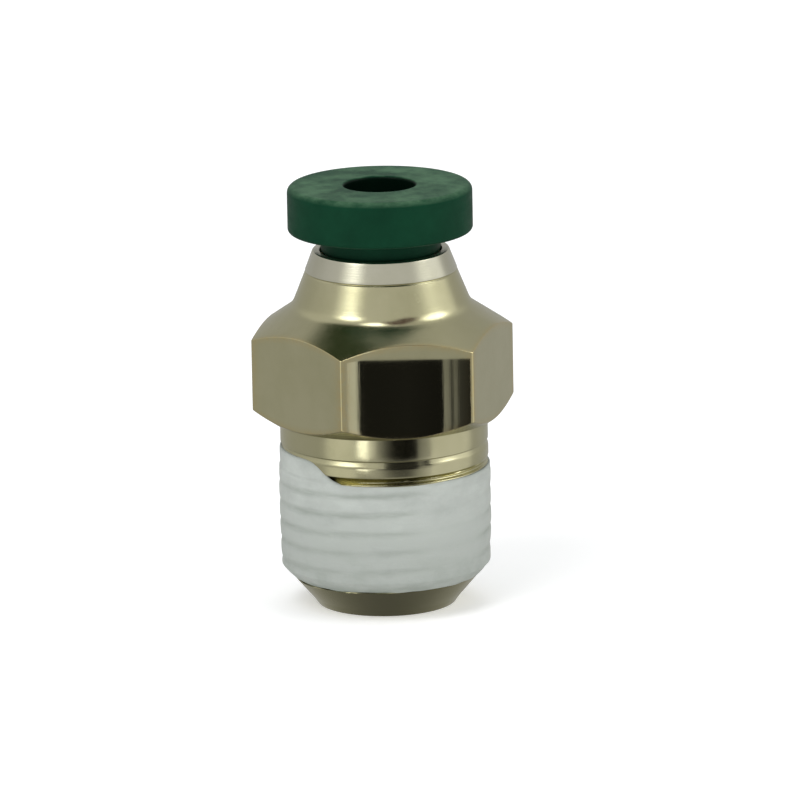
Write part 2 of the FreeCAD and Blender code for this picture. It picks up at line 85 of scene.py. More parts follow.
def length(name, description, millimetres):
    return FloatProperty(
        name=name, description=description, default=millimetres * MM, precision=6, unit="LENGTH"
    )


def angle_size(name, description, degrees):
    return FloatProperty(name=name, description=description, default=math.radians(degrees), subtype="ANGLE")


def colour(name, description, default):
    return FloatVectorProperty(
        name=name, description=description, default=default, size=3, min=0, max=1, subtype="COLOR"
    )


class FittingBodySizes(bpy.types.PropertyGroup):
    """Sizes of the turned and milled brass body."""

    flow_bore: length("Flow bore", "Radius of the bore from the thread's end to the tube stop", 1.2)
    nose: length("Nose", "Outer radius of the thread's end face", 3.3)
    nose_lead: length("Nose lead", "Radius where the nose meets the lead chamfer", 3.55)
    nose_height: length("Nose height", "Height of the short steep nose", 0.35)
    lead_height: length("Lead height", "Height where the lead chamfer meets the crests", 2.0)
    thread_pitch: length("Thread pitch", "Distance between neighbouring crests", 0.9407)
    thread_end: length("Thread end", "Crest radius of the thread's cone at the end face", 4.9)
    thread_depth: length("Thread depth", "Depth of the thread's groove", 0.676)
    crest_flat: length("Crest flat", "Width of the thread's crest", 0.1)
    gauge: length("Gauge length", "Height above which the crests stay at one radius", 4.1)
    thread_top: length("Thread top", "Height of the end of the full thread", 6.86)
    bead_foot: length("Bead foot", "Radius at the edges of the rounded band over the thread", 4.84)
    bead_crown: length("Bead crown", "Radius at the middle of the rounded band", 4.98)
    collar_bottom: length("Collar bottom", "Height of the collar's lower edge", 7.98)
    collar: length("Collar", "Radius of the round collar", 4.97)
    hex_bottom: length("Hexagon bottom", "Height of the hexagon's underside", 9.15)
    hex_face: length("Hexagon face", "Radius of the flat ring on the hexagon's underside", 5.44)
    hex_chamfer: angle_size("Chamfer angle", "Angle of both chamfers to a level plane", 34)
    hex_corner_top: length("Corner top", "Top of the hexagon's corner edges", 13.168)
    hex_crown: length("Flat crown", "Rise of the middle of each polished flat", 0.012)
    hex_softness: length("Corner softness", "Blend length over the hexagon's corners", 0.03)
    hex_edge: length("Edge rounding", "Rounding between the flats and the two chamfers", 0.07)
    neck_base: length("Neck foot", "Radius at the foot of the tapered neck", 4.292)
    neck_fillet: length("Neck fillet", "Radius of the hollow fillet at the neck's foot", 1.0)
    seam: length("Seam", "Radius of the neck at the seam", 3.656)
    seam_chamfer: length("Seam chamfer", "Each side of the small groove at the seam", 0.06)
    cavity: length("Cavity", "Radius of the cavity that holds the cartridge", 3.22)
    washer_seat: length("Washer seat", "Height of the shoulder under the support washer", 12.15)
    seal_bore: length("Seal bore", "Radius of the counterbore round the seal", 2.7125)
    socket_top: length("Socket top", "Height of the tube socket's upper edge", 11.0)
    socket: length("Socket", "Radius of the tube's socket", 1.6175)
    tube_stop: length("Tube stop", "Height of the face the tube's end lands on", 8.0)
    columns: IntProperty(name="Columns", description="Columns round the body", default=324, min=60)


class FittingSealantSizes(bpy.types.PropertyGroup):
    """Sizes of the pre-applied sealant."""

    film: length("Film", "Thickness of the paste over the crests", 0.035)
    valley: length("Valley", "Depth of the softened thread lines", 0.065)
    unevenness: length("Unevenness", "Height of the lumps in the paste", 0.02)
    foot: length("Foot", "Height of the lower edge on the lead chamfer", 1.46)
    top: length("Top", "Height of the upper edge at the front", 6.8)
    climb: length("Climb", "How far the paste climbs over the band at one side", 1.0)
    edge: length("Edge", "Distance over which the paste's edges thin out", 0.22)
    waver: length("Waver", "How far the edges wander up and down", 0.07)
    climb_side: angle_size("Climb side", "Where the climb starts, left of the front", 36)
    climb_end: angle_size("Climb end", "Where the climb ends, left of the front", 150)
    smooth_side: angle_size("Smooth side", "Where the paste hides the thread, right of the front", 48)
    cover: length("Cover", "Depth of the paste's hidden inner face below the crests", 0.3)
    columns: IntProperty(name="Columns", description="Columns round the paste", default=360, min=60)
    rows: IntProperty(name="Rows", description="Rows from edge to edge", default=150, min=20)


class FittingRingSizes(bpy.types.PropertyGroup):
    """Sizes of the pressed retaining ring."""

    top: length("Top radius", "Outer radius of the top face", 3.26)
    edge_round: length("Edge round", "Rounding of the top edges", 0.09)
    seam: length("Seam", "Radius of the ring at the seam", 3.655)
    seam_height: length("Seam height", "Height of the seam", 16.25)
    seam_chamfer: length("Seam chamfer", "Each side of the small groove at the seam", 0.06)
    skirt: length("Skirt", "Outer radius of the skirt inside the body", 3.2)
    skirt_bore: length("Skirt bore", "Bore of the skirt", 2.8)
    lip_bottom: length("Lip bottom", "Height of the inner lip's underside", 15.95)
    lip: length("Lip", "Radius of the inner lip", 2.62)
    mouth_bottom: length("Mouth bottom", "Height of the floor of the ring's mouth", 16.3)
    mouth: length("Mouth", "Radius of the ring's mouth", 2.92)


class FittingButtonSizes(bpy.types.PropertyGroup):
    """Sizes of the moulded release button."""

    flange: length("Flange", "Outer radius of the flange", 4.42)
    flange_bottom: length("Flange bottom", "Height of the flange's underside", 18.17)
    top_round: length("Top round", "Rounding of the flange's upper edge", 0.34)
    bottom_round: length("Bottom round", "Rounding of the flange's lower edge", 0.2)
    bore: length("Bore", "Radius of the bore", 1.7)
    lead_in: length("Lead in", "Rounded mouth of the bore", 0.16)
    neck: length("Neck", "Radius of the neck under the flange", 2.86)
    neck_bottom: length("Neck bottom", "Height of the neck's lower face", 17.25)
    stem: length("Stem", "Radius of the stem", 2.56)
    bead_top: length("Bead top", "Height of the snap bead's upper face", 15.9)
    bead: length("Bead", "Radius of the snap bead", 2.74)
    bead_length: length("Bead length", "Length of the snap bead", 0.5)
    stem_bottom: length("Stem bottom", "Height of the stem's lower face", 14.69)
    nose: length("Nose", "Outer radius of the nose", 2.05)
    nose_slope: length("Nose slope", "Height of the nose's sloped end", 0.35)


class FittingFinishes(bpy.types.PropertyGroup):
    """Colours of the finishes."""

    nickel: colour("Nickel", "Plating on the body", (0.60, 0.57, 0.37))
    bright_nickel: colour("Bright nickel", "Plating on the retaining ring", (0.69, 0.67, 0.55))
    worn_brass: colour("Worn brass", "Brass that shows through on worn edges", (0.66, 0.50, 0.22))
    acetal: colour("Acetal", "Button plastic", (0.005, 0.046, 0.022))
    # Paler acetal for rub marks and for a painted sheen on the button's upward faces.
    acetal_scuff_and_sheen: colour("Scuffed acetal", "Rubbed places on the button", (0.070, 0.150, 0.085))
    paste: colour("Paste", "Dried sealant", (0.48, 0.51, 0.475))
    # Darker paste for thin edges and for painted shade in the thread's valleys.
    paste_shade: colour("Thin paste", "Sealant in the valleys and at thin edges", (0.25, 0.28, 0.24))
    nitrile: colour("Nitrile", "Rubber seal", (0.018, 0.018, 0.02))
    washer: colour("Washer", "Plastic support washer", (0.72, 0.70, 0.62))
    spring: colour("Spring steel", "Grab ring and teeth", (0.60, 0.60, 0.58))


class FittingStageSizes(bpy.types.PropertyGroup):
    """Camera, lights and floor."""

    azimuth: angle_size("Azimuth", "Camera's direction about the axis", -12)
    elevation: angle_size("Elevation", "Camera's height above the horizon", 13.5)
    roll: angle_size("Roll", "Camera's turn about its line of sight", -1.05)
    distance: length("Distance", "Camera to the fitting's axis", 500)
    view_width: length("View width", "Width seen at the fitting's axis", 38.25)
    aim_height: length("Aim height", "Height on the axis that the camera aims at", 9.82)
    aim_side: length("Aim side", "How far right of the axis the camera aims", 0.79)
    floor: length("Floor", "Side of the square floor", 6000)
    lamp_distance: length("Lamp distance", "From the fitting's middle to each softbox", 300)
    card_distance: length("Card distance", "From the front flat to the card it mirrors", 2.4)
    sensor: FloatProperty(name="Sensor", description="Camera sensor width in millimetres", default=36)


# ---------------------------------------------------------------- surfaces


def rounded_outline(corners, steps=7):
    """Closed outlines from (radius, height, rounding) corners; a radius or height may be an array with one
    value for each column. Each rounding is an arc tangent to both runs: its centre lies on the corner's
    bisector at rounding / sin(half the angle), and its points swing evenly from tangent to tangent."""
    places = [np.stack(np.broadcast_arrays(*corner[:2]), axis=-1).reshape(-1, 2) for corner in corners]
    count = max(len(place) for place in places)
    places = [np.broadcast_to(place, (count, 2)) for place in places]
    pieces = []
    for index, (*_, rounding) in enumerate(corners):
        corner = places[index]
        back = places[index - 1] - corner
        ahead = places[(index + 1) % len(places)] - corner
        back = back / np.linalg.norm(back, axis=1, keepdims=True)
        ahead = ahead / np.linalg.norm(ahead, axis=1, keepdims=True)
        half = np.arccos(np.clip((back * ahead).sum(1, keepdims=True), -1, 1)) / 2
        if rounding == 0:
            pieces.append(corner[:, None])
            continue
        middle = back + ahead
        centre = corner + middle / np.linalg.norm(middle, axis=1, keepdims=True) * rounding / np.sin(half)
        reach = rounding / np.tan(half)
        start, end = (corner + side * reach - centre for side in (back, ahead))
        swing = (math.pi - 2 * half)[:, None]
        along = np.linspace(0, 1, steps)[None, :, None]
        arc = np.sin((1 - along) * swing) * start[:, None] + np.sin(along * swing) * end[:, None]
        pieces.append(centre[:, None] + arc / np.sin(swing))
    return np.concatenate(pieces, axis=1)


def refined(outline, longest):
    """The closed outlines with points added evenly on each run that is longer, in any column, than
    longest(radius, height) allows at its middle."""
    ahead = np.roll(outline, -1, axis=1)
    middle = (outline + ahead).mean(axis=0) / 2
    counts = np.ceil(np.linalg.norm(ahead - outline, axis=2).max(0) / longest(middle[:, 0], middle[:, 1]))
    counts = np.maximum(counts, 1).astype(int)
    first = np.repeat(np.arange(len(counts)), counts)
    step = np.arange(counts.sum()) - np.repeat(np.cumsum(counts) - counts, counts)
    along = (step / np.repeat(counts, counts))[None, :, None]
    return outline[:, first] * (1 - along) + ahead[:, first] * along


def soft_min(first, second, softness):
    """The smaller of two lengths, blended over the softness where they are nearly equal:
    -s log(exp(-a/s) + exp(-b/s))."""
    low = np.minimum(first, second)
    return low - softness * np.log(np.exp((low - first) / softness) + np.exp((low - second) / softness))


def turned(radius, height, angle):
    """Points of a turned surface: (radius cos angle, radius sin angle, height)."""
    return np.stack([radius * np.cos(angle), radius * np.sin(angle), height + 0 * angle], axis=-1)


def closed_mesh(name, points, material, attributes=(), sharp=math.radians(35)):
    """A mesh on a grid of points that closes on itself both ways, with its faces turned outwards: the
    signed volume, the sum of each corner triple's box product, is made positive."""
    columns, rows = points.shape[:2]
    places = points.reshape(-1, 3)
    across, along = np.meshgrid(np.arange(columns), np.arange(rows), indexing="ij")
    here = across * rows + along
    right = (across + 1) % columns * rows + along
    above = across * rows + (along + 1) % rows
    corner = (across + 1) % columns * rows + (along + 1) % rows
    quads = np.stack([here, right, corner, above], axis=-1).reshape(-1, 4)
    first, second, third, fourth = (places[quads[:, k]] for k in range(4))
    volume = np.einsum("ij,ij->", first, np.cross(second, third) + np.cross(third, fourth))
    if volume < 0:
        quads = quads[:, ::-1]
    mesh = bpy.data.meshes.new(name)
    mesh.from_pydata(places.tolist(), [], quads.tolist())
    for label, values in attributes:
        layer = mesh.attributes.new(label, "FLOAT", "POINT")
        layer.data.foreach_set("value", np.ascontiguousarray(values, np.float32).ravel())
    mesh.shade_smooth()
    mesh.set_sharp_from_angle(angle=sharp)
    mesh.materials.append(material)
    piece = bpy.data.objects.new(name, mesh)
    bpy.context.scene.collection.objects.link(piece)
    return piece


def waves(angle, height, seed, count, tallest, reach):
    """Smooth seeded unevenness between about -1 and 1: a sum of cosines of whole numbers of waves round
    the axis and of up to tallest waves per reach of height, each with its own phase."""
    pick = np.random.default_rng(seed)
    total = 0
    for order in range(count):
        turns = int(pick.integers(1, 4 + 3 * order))
        rise = pick.uniform(-tallest, tallest) * 2 * math.pi / reach
        phase = pick.uniform(0, 2 * math.pi)
        total = total + np.cos(turns * angle + rise * height + phase) / (1 + 0.35 * order)
    return total / math.sqrt(count)


def hexagon_radius(angle, across_flats, crown, softness):
    """Distance from the axis to the hexagon at each angle: half the across flats size over the cosine of
    the angle from the flat's middle, a crown that falls off with the square of the distance along the
    flat, and a soft minimum of neighbouring flats at each corner. One flat's middle is at -Y."""
    sector = math.pi / 3
    turn = np.mod(angle + math.pi / 2 + sector / 2, sector) - sector / 2
    half = across_flats / 2
    own = half / np.cos(turn) - crown * (np.tan(turn) / math.tan(sector / 2)) ** 2
    neighbour = half / np.cos(sector - np.abs(turn)) - crown
    return soft_min(own, neighbour, softness)


def thread_groove_depth(angle, height, sizes):
    """Depth of the right hand thread's groove at each place: the groove's middle climbs one pitch a turn,
    and its 60 degree sides fall from the crest's flat to the root."""
    phase = np.mod(height / sizes.thread_pitch - 0.5 - angle / (2 * math.pi), 1)
    away = np.abs(phase - 0.5) * sizes.thread_pitch
    opening = (sizes.thread_pitch - sizes.crest_flat) / 2 - away
    return np.clip(opening / math.tan(math.radians(30)), 0, sizes.thread_depth)


def crest_radius(height, sizes):
    """Radius of the body's outside where the thread is: the lead chamfer's cone, the thread's 1 in 32
    cone, and a plain cylinder above the gauge length."""
    lead = sizes.thread_end + sizes.lead_height * TAPER
    top = sizes.thread_end + sizes.gauge * TAPER
    knots = [sizes.nose_height, sizes.lead_height, sizes.gauge]
    return np.interp(height, knots, [sizes.nose_lead, lead, top])


def corner_angles(columns):
    """Angles round the axis, set closer together at the hexagon's corners: within each sector the even
    spacing t is pulled towards the ends by t (1.5 - 0.5 t^2)."""
    even = (np.arange(columns // 6) + 0.5) / (columns // 6) * 2 - 1
    drawn = 0.55 * even + 0.45 * even * (1.5 - 0.5 * even ** 2)
    sectors = -math.pi / 2 + np.arange(6)[:, None] * math.pi / 3
    return (sectors + drawn * math.pi / 6).ravel()


def body_points(sizes):
    """The body's closed half section carried round the axis. In each column the hexagon's two chamfers run
    out to that column's distance to the flats, so the edges between chamfer and flat are smooth curves.
    The thread's groove cuts into the lower section. Returns the points and two masks: how much each point
    lies on a milled flat, and how near it is to an edge of one."""
    crest = sizes.thread_end + sizes.gauge * TAPER
    corner = (BODY_HIGH.x - BODY_LOW.x) / 2
    slope = math.tan(sizes.hex_chamfer)
    angle = corner_angles(sizes.columns)
    hexagon = hexagon_radius(angle, BODY_HIGH.y - BODY_LOW.y, sizes.hex_crown, sizes.hex_softness)
    flat_bottom = sizes.hex_bottom + (hexagon - sizes.hex_face) * slope
    flat_top = sizes.hex_corner_top + (corner - hexagon) * slope
    neck_height = sizes.hex_corner_top + (corner - sizes.neck_base) * slope
    bead_middle = (sizes.thread_top + sizes.collar_bottom) / 2
    seam = BODY_HIGH.z
    outline = refined(rounded_outline([
        (sizes.flow_bore, 0, 0.06 * MM),
        (sizes.nose, 0, 0.1 * MM),
        (sizes.nose_lead, sizes.nose_height, 0.1 * MM),
        (sizes.thread_end + sizes.lead_height * TAPER, sizes.lead_height, 0),
        (crest, sizes.gauge, 0),
        (crest, sizes.thread_top, 0.05 * MM),
        (sizes.bead_foot, sizes.thread_top + 0.08 * MM, 0.04 * MM),
        (sizes.bead_crown, bead_middle - 0.3 * MM, 0.4 * MM),
        (sizes.bead_crown, bead_middle + 0.25 * MM, 0.4 * MM),
        (sizes.bead_foot, sizes.collar_bottom - 0.04 * MM, 0.03 * MM),
        (sizes.collar, sizes.collar_bottom, 0.05 * MM),
        (sizes.collar, sizes.hex_bottom, 0.12 * MM),
        (sizes.hex_face, sizes.hex_bottom, 0.05 * MM),
        (hexagon, flat_bottom, sizes.hex_edge),
        (hexagon, flat_top, sizes.hex_edge),
        (sizes.neck_base, neck_height, sizes.neck_fillet),
        (sizes.seam, seam - sizes.seam_chamfer, 0.03 * MM),
        (sizes.seam - sizes.seam_chamfer, seam, 0),
        (sizes.cavity, seam, 0.04 * MM),
        (sizes.cavity, sizes.washer_seat, 0),
        (sizes.seal_bore, sizes.washer_seat, 0),
        (sizes.seal_bore, sizes.socket_top, 0),
        (sizes.socket, sizes.socket_top, 0),
        (sizes.socket, sizes.tube_stop, 0),
        (sizes.flow_bore, sizes.tube_stop, 0),
    ]), lambda radius, height: np.where(
        (radius > sizes.nose_lead) & (height > sizes.nose_height) & (height < sizes.thread_top), 0.062 * MM,
        np.where(radius > sizes.cavity + 0.2 * MM, 0.3 * MM, 0.9 * MM),
    ))
    angle, hexagon = angle[:, None], hexagon[:, None]
    radius, height = outline[..., 0], outline[..., 1]
    on_hexagon = (height > sizes.hex_bottom + 0.02 * MM) & (radius > sizes.neck_base)
    chamfer_gap = np.minimum(height - flat_bottom[:, None], flat_top[:, None] - height)
    flat = np.clip(chamfer_gap / (0.05 * MM) + 0.5, 0, 1) * on_hexagon
    corner_wear = np.exp(-((hexagon.max() - hexagon) / (0.16 * MM)) ** 2) * flat
    edge_wear = np.exp(-(chamfer_gap / (0.08 * MM)) ** 2)
    wear = np.maximum(corner_wear, edge_wear) * on_hexagon
    cut = crest_radius(height, sizes)
    threaded = (radius > sizes.nose_lead) & (height < sizes.thread_top + 0.3 * MM)
    groove_floor = sizes.thread_end + height * TAPER - thread_groove_depth(angle, height, sizes)
    in_thread = threaded & (cut > sizes.thread_end - sizes.thread_depth)
    radius = np.where(in_thread, np.minimum(radius, groove_floor), radius)
    return turned(radius, height, angle), flat, wear


def sealant_points(sizes, body):
    """The paste's closed section carried round the axis. Its outer face is the body's outside plus a film
    that thins to nothing at two wavering edges, less a softened groove that follows the thread's helix;
    its inner face lies hidden inside the brass."""
    angle = (np.arange(sizes.columns) / sizes.columns * 2 * math.pi)[:, None]
    camera = bpy.context.scene.fitting_stage.azimuth - math.pi / 2
    side = np.angle(np.exp(1j * (angle - camera)))
    climbed = 1 / (1 + np.exp((side + sizes.climb_side) / math.radians(3.5)))
    climbed = climbed / (1 + np.exp(-(side + sizes.climb_end) / math.radians(6)))
    foot = sizes.foot + sizes.waver * waves(angle, 0, 11, 9, 0, 1)
    top = sizes.top + sizes.climb * climbed + 0.3 * sizes.waver * waves(angle, 0, 23, 8, 0, 1)
    rise = np.linspace(0, 1, sizes.rows)
    rise = rise - 0.12 * np.sin(2 * math.pi * rise) / math.pi
    height = foot + (top - foot) * rise
    band = np.clip((height - sizes.top) / (0.12 * MM), 0, 1)
    surface = crest_radius(height, body) * (1 - band) + body.bead_crown * band
    inset = np.minimum(height - foot, top - height)
    film = 1 - np.exp(-inset / (0.35 * sizes.edge))
    phase = np.mod(height / body.thread_pitch - 0.5 - angle / (2 * math.pi), 1)
    groove = np.exp(-((phase - 0.5) / 0.17) ** 2)
    faded = 0.75 * np.exp(-((side - sizes.smooth_side) / math.radians(30)) ** 2)
    strength = 0.72 - faded + 0.4 * waves(angle, height, 31, 7, 1, 5 * MM)
    valley = sizes.valley * np.clip(strength, 0.15, 1.25) * groove * (1 - band)
    lumps = sizes.unevenness * waves(angle, height, 47, 16, 3, 4 * MM)
    outer = surface + film * (sizes.film + lumps) - film * valley - 0.012 * MM * (1 - film)
    buried = surface - sizes.cover * (1 - 0.75 * np.exp(-inset / (0.5 * sizes.edge)))
    # Painted shade: the thread's valleys are marked for darker colour, as shade in the grooves; the paste's
    # thin edges are marked too.
    thin = np.clip(0.9 * valley / sizes.valley + 0.9 * (1 - film), 0, 1)
    radius = np.concatenate([outer, buried[:, ::-1]], axis=1)
    heights = np.concatenate([height, height[:, ::-1]], axis=1)
    thin_and_valley_shade = np.concatenate([thin, 0 * thin], axis=1)
    return turned(radius, heights, angle), thin_and_valley_shade


def turned_piece(name, corners, material, columns, longest, steps=9):
    """A turned piece: a closed outline of (radius, height, rounding) corners carried round the axis."""
    outline = refined(rounded_outline(corners, steps), lambda radius, height: longest + 0 * radius)
    angle = (np.arange(columns) / columns * 2 * math.pi)[:, None]
    radius, height = outline[..., 0] + 0 * angle, outline[..., 1] + 0 * angle
    return closed_mesh(name, turned(radius, height, angle), material)


# ---------------------------------------------------------------- finishes


class Finish:
    """A material's node tree with short ways to add nodes. All patterns read Object coordinates."""

    def __init__(self, name, base, roughness, metallic=0.0, **sockets):
        self.material = bpy.data.materials.new(name)
        self.material.use_nodes = True
        self.nodes = self.material.node_tree.nodes
        self.links = self.material.node_tree.links
        self.shader = self.nodes["Principled BSDF"]
        self.shader.inputs["Base Color"].default_value = (*base, 1)
        self.shader.inputs["Roughness"].default_value = roughness
        self.shader.inputs["Metallic"].default_value = metallic
        for socket, value in sockets.items():
            self.shader.inputs[socket.replace("_", " ")].default_value = value
        self.place = self.nodes.new("ShaderNodeTexCoord").outputs["Object"]

    def drive(self, socket, source):
        self.links.new(source, self.shader.inputs[socket])

    def node(self, kind, inputs=(), **settings):
        node = self.nodes.new(kind)
        for key, value in settings.items():
            setattr(node, key, value)
        for socket, value in inputs:
            if isinstance(value, bpy.types.NodeSocket):
                self.links.new(value, node.inputs[socket])
            else:
                node.inputs[socket].default_value = value
        return node

    def maths(self, operation, first, second=0.0, clamp=False):
        return self.node(
            "ShaderNodeMath", [(0, first), (1, second)], operation=operation, use_clamp=clamp
        ).outputs[0]

    def scaled(self, factors, place=None):
        return self.node(
            "ShaderNodeVectorMath", [(0, place or self.place), (1, factors)], operation="MULTIPLY"
        ).outputs[0]

    def noise(self, per_mm, detail=3.0, roughness=0.55, place=None):
        return self.node(
            "ShaderNodeTexNoise",
            [("Vector", place or self.place), ("Scale", per_mm / MM), ("Detail", detail),
             ("Roughness", roughness)],
        ).outputs["Fac"]

    def ranged(self, value, low, high, to_low, to_high):
        return self.node(
            "ShaderNodeMapRange", [(0, value), (1, low), (2, high), (3, to_low), (4, to_high)]
        ).outputs[0]

    def attribute(self, name):
        return self.node("ShaderNodeAttribute", attribute_name=name).outputs["Fac"]

    def blend(self, factor, first, second):
        mix = self.node("ShaderNodeMix", data_type="RGBA")
        for index, value in ((0, factor), (6, first), (7, second)):
            if isinstance(value, bpy.types.NodeSocket):
                self.links.new(value, mix.inputs[index])
            else:
                mix.inputs[index].default_value = value if index == 0 else (*value, 1)
        return mix.outputs[2]

    def bump(self, height, depth, strength=1.0):
        bump = self.node("ShaderNodeBump", [("Height", height), ("Distance", depth), ("Strength", strength)])
        self.drive("Normal", bump.outputs[0])

    def turning_place(self):
        """The place as (distance from the axis, height): what a lathe tool leaves is the same all the way
        round, so patterns on this pair are rings."""
        flat = self.scaled((1, 1, 0))
        distance = self.node("ShaderNodeVectorMath", [(0, flat)], operation="LENGTH").outputs["Value"]
        height = self.node("ShaderNodeSeparateXYZ", [(0, self.place)]).outputs[2]
        return self.node("ShaderNodeCombineXYZ", [(0, distance), (1, height)]).outputs[0]


def dimmed(base, factor):
    return tuple(value * factor for value in base)


def nickel_finish(name, plating, worn_brass, milled):
    """Nickel plate on turned brass: fine lathe rings, drawn lines along the milled flats, soft handling
    smudges in the gloss, and brass warming the worn edges."""
    base, worn = tuple(plating), tuple(worn_brass)
    finish = Finish(name, base, 0.2, metallic=1.0)
    rings = finish.noise(26, 2, 0.6, finish.turning_place())
    smudge = finish.noise(0.45, 4, 0.6)
    speckle = finish.noise(5, 3, 0.65)
    smudged = tuple(value * tint for value, tint in zip(base, (0.86, 0.87, 0.80)))
    tone = finish.blend(finish.ranged(smudge, 0.35, 0.7, 0, 0.55), base, smudged)
    if milled:
        flats = finish.attribute("flat")
        drawn = finish.noise(14, 2, 0.6, finish.scaled((1, 1, 0.04)))
        lines = finish.node("ShaderNodeMix", [(0, flats), (2, rings), (3, drawn)]).outputs[0]
        patchy = finish.ranged(speckle, 0.3, 0.65, 0.25, 1)
        wear = finish.maths("MULTIPLY", finish.attribute("wear"), patchy)
        tone = finish.blend(finish.maths("MULTIPLY", wear, 0.5), tone, worn)
    else:
        lines = rings
    finish.drive("Base Color", tone)
    hazed = finish.ranged(smudge, 0.3, 0.7, 0.13, 0.24)
    gloss = finish.maths("ADD", hazed, finish.ranged(speckle, 0.4, 0.7, 0, 0.04))
    if milled:
        gloss = finish.maths("MULTIPLY", gloss, finish.ranged(flats, 0, 1, 1, 0.45))
    finish.drive("Roughness", gloss)
    finish.bump(finish.maths("ADD", lines, finish.maths("MULTIPLY", smudge, 1.5)), 0.0022 * MM, 0.6)
    return finish.material


def acetal_finish(colours, bore):
    """Moulded acetal: fine grain, slightly uneven colour, pale rub marks mixed with a painted sheen on what
    faces up, and painted shade darkening the bore.
    """
    finish = Finish("green_acetal", colours.acetal, 0.42, Specular_IOR_Level=0.05)
    cloud = finish.noise(0.5, 4, 0.6)
    rub = finish.noise(0.6, 5, 0.65, finish.scaled((1, 1, 2.5)))
    grain = finish.noise(22, 2, 0.5)
    normal = finish.node("ShaderNodeNewGeometry").outputs["Normal"]
    upward = finish.node("ShaderNodeSeparateXYZ", [(0, normal)]).outputs[2]
    faces_up = finish.ranged(upward, 0.25, 0.95, 0, 1)
    # Pale rub marks mixed with a painted sheen: faces that point up are made paler, as light from above
    # would show them.
    scuff_and_top_sheen = finish.maths("MULTIPLY", faces_up, finish.ranged(rub, 0.40, 0.62, 0.1, 1))
    dark = dimmed(colours.acetal, 0.72)
    tone = finish.blend(finish.ranged(cloud, 0.3, 0.7, 0, 1), dark, tuple(colours.acetal))
    tone = finish.blend(scuff_and_top_sheen, tone, tuple(colours.acetal_scuff_and_sheen))
    distance = finish.node("ShaderNodeSeparateXYZ", [(0, finish.turning_place())]).outputs[0]
    # Painted shade: the bore's wall is darkened towards black, as shade in the deep hole.
    painted_bore_shade = finish.ranged(distance, bore + 0.02 * MM, bore + 0.1 * MM, 0.85, 0)
    finish.drive("Base Color", finish.blend(painted_bore_shade, tone, (0, 0, 0)))
    finish.drive("Roughness", finish.ranged(rub, 0.3, 0.7, 0.34, 0.5))
    finish.bump(finish.maths("ADD", grain, finish.maths("MULTIPLY", cloud, 3)), 0.006 * MM, 0.5)
    return finish.material


def paste_finish(colours):
    """Dried sealant paste: chalky, darker and greener at its thin edges, where the thread shows, and with
    painted shade darkening the thread's valleys.
    """
    finish = Finish("sealant_paste", colours.paste, 0.5, Specular_IOR_Level=0.4)
    cloud = finish.noise(0.55, 5, 0.62, finish.scaled((1, 1, 1.6)))
    grit = finish.noise(9, 3, 0.6)
    streak = finish.noise(1.6, 3, 0.6, finish.scaled((0.6, 0.6, 4)))
    # Painted shade in the thread's valleys and the thin paste at the edges both pull the colour towards
    # paste_shade.
    thin = finish.maths("MULTIPLY", finish.attribute("thin"), finish.ranged(streak, 0.3, 0.65, 0.35, 1.0))
    clouded = finish.ranged(cloud, 0.32, 0.68, 0, 1)
    tone = finish.blend(clouded, dimmed(colours.paste, 0.88), dimmed(colours.paste, 1.1))
    height = finish.node("ShaderNodeSeparateXYZ", [(0, finish.place)]).outputs[2]
    # Darker towards the foot: from 6 mm down to 1.5 mm, patchy with the clouds.
    near_foot = finish.ranged(height, 1.5 * MM, 6 * MM, 0.55, 0)
    darker_towards_foot = finish.maths("MULTIPLY", near_foot, finish.ranged(cloud, 0.4, 0.6, 0.3, 1))
    tone = finish.blend(darker_towards_foot, tone, dimmed(colours.paste_shade, 0.8))
    tone = finish.blend(finish.maths("MULTIPLY", thin, 0.75, clamp=True), tone, tuple(colours.paste_shade))
    finish.drive("Base Color", tone)
    finish.drive("Roughness", finish.ranged(cloud, 0.3, 0.7, 0.38, 0.62))
    height = finish.maths("ADD", finish.maths("MULTIPLY", grit, 0.35), streak)
    finish.bump(height, 0.03 * MM, 0.7)
    return finish.material


def inner_finish(name, base, roughness, metallic, per_mm):
    """A plain inner finish with fine grain in its colour, gloss and surface."""
    finish = Finish(name, base, roughness, metallic=metallic)
    grain = finish.noise(per_mm, 3, 0.6)
    cloud = finish.noise(0.8, 3, 0.6)
    clouded = finish.ranged(cloud, 0.3, 0.7, 0, 1)
    finish.drive("Base Color", finish.blend(clouded, tuple(base), dimmed(base, 0.75)))
    finish.drive("Roughness", finish.ranged(grain, 0.3, 0.7, roughness * 0.8, roughness * 1.25))
    finish.bump(grain, 0.003 * MM, 0.5)
    return finish.material


# ---------------------------------------------------------------- pieces


def placed(piece, body, slot, *nodes):
    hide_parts(*nodes)
    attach(piece, body)


class FITTING_OT_body(bpy.types.Operator):
    """Build the plated brass body: thread, band, collar, hexagon, neck and bores"""

    bl_idname = "fitting.body"
    bl_label = "Brass body"

    def execute(self, context):
        sizes = context.scene.fitting_body
        colours = context.scene.fitting_finishes
        points, flat, wear = body_points(sizes)
        material = nickel_finish("nickel_plated_body", colours.nickel, colours.worn_brass, milled=True)
        piece = closed_mesh("body_turning", points, material, [("flat", flat), ("wear", wear)])
        placed(piece, BODY, "nickel_plate", "body")
        return {"FINISHED"}


class FITTING_OT_sealant(bpy.types.Operator):
    """Build the dried sealant paste over the thread"""

    bl_idname = "fitting.sealant"
    bl_label = "Thread sealant"

    def execute(self, context):
        points, thin = sealant_points(context.scene.fitting_sealant, context.scene.fitting_body)
        material = paste_finish(context.scene.fitting_finishes)
        # The thin attribute carries the paste's thin edges and the painted shade in the thread's valleys.
        piece = closed_mesh("sealant_paste", points, material, [("thin", thin)], math.radians(80))
        placed(piece, BODY, "sealant", "thread_sealant")
        return {"FINISHED"}


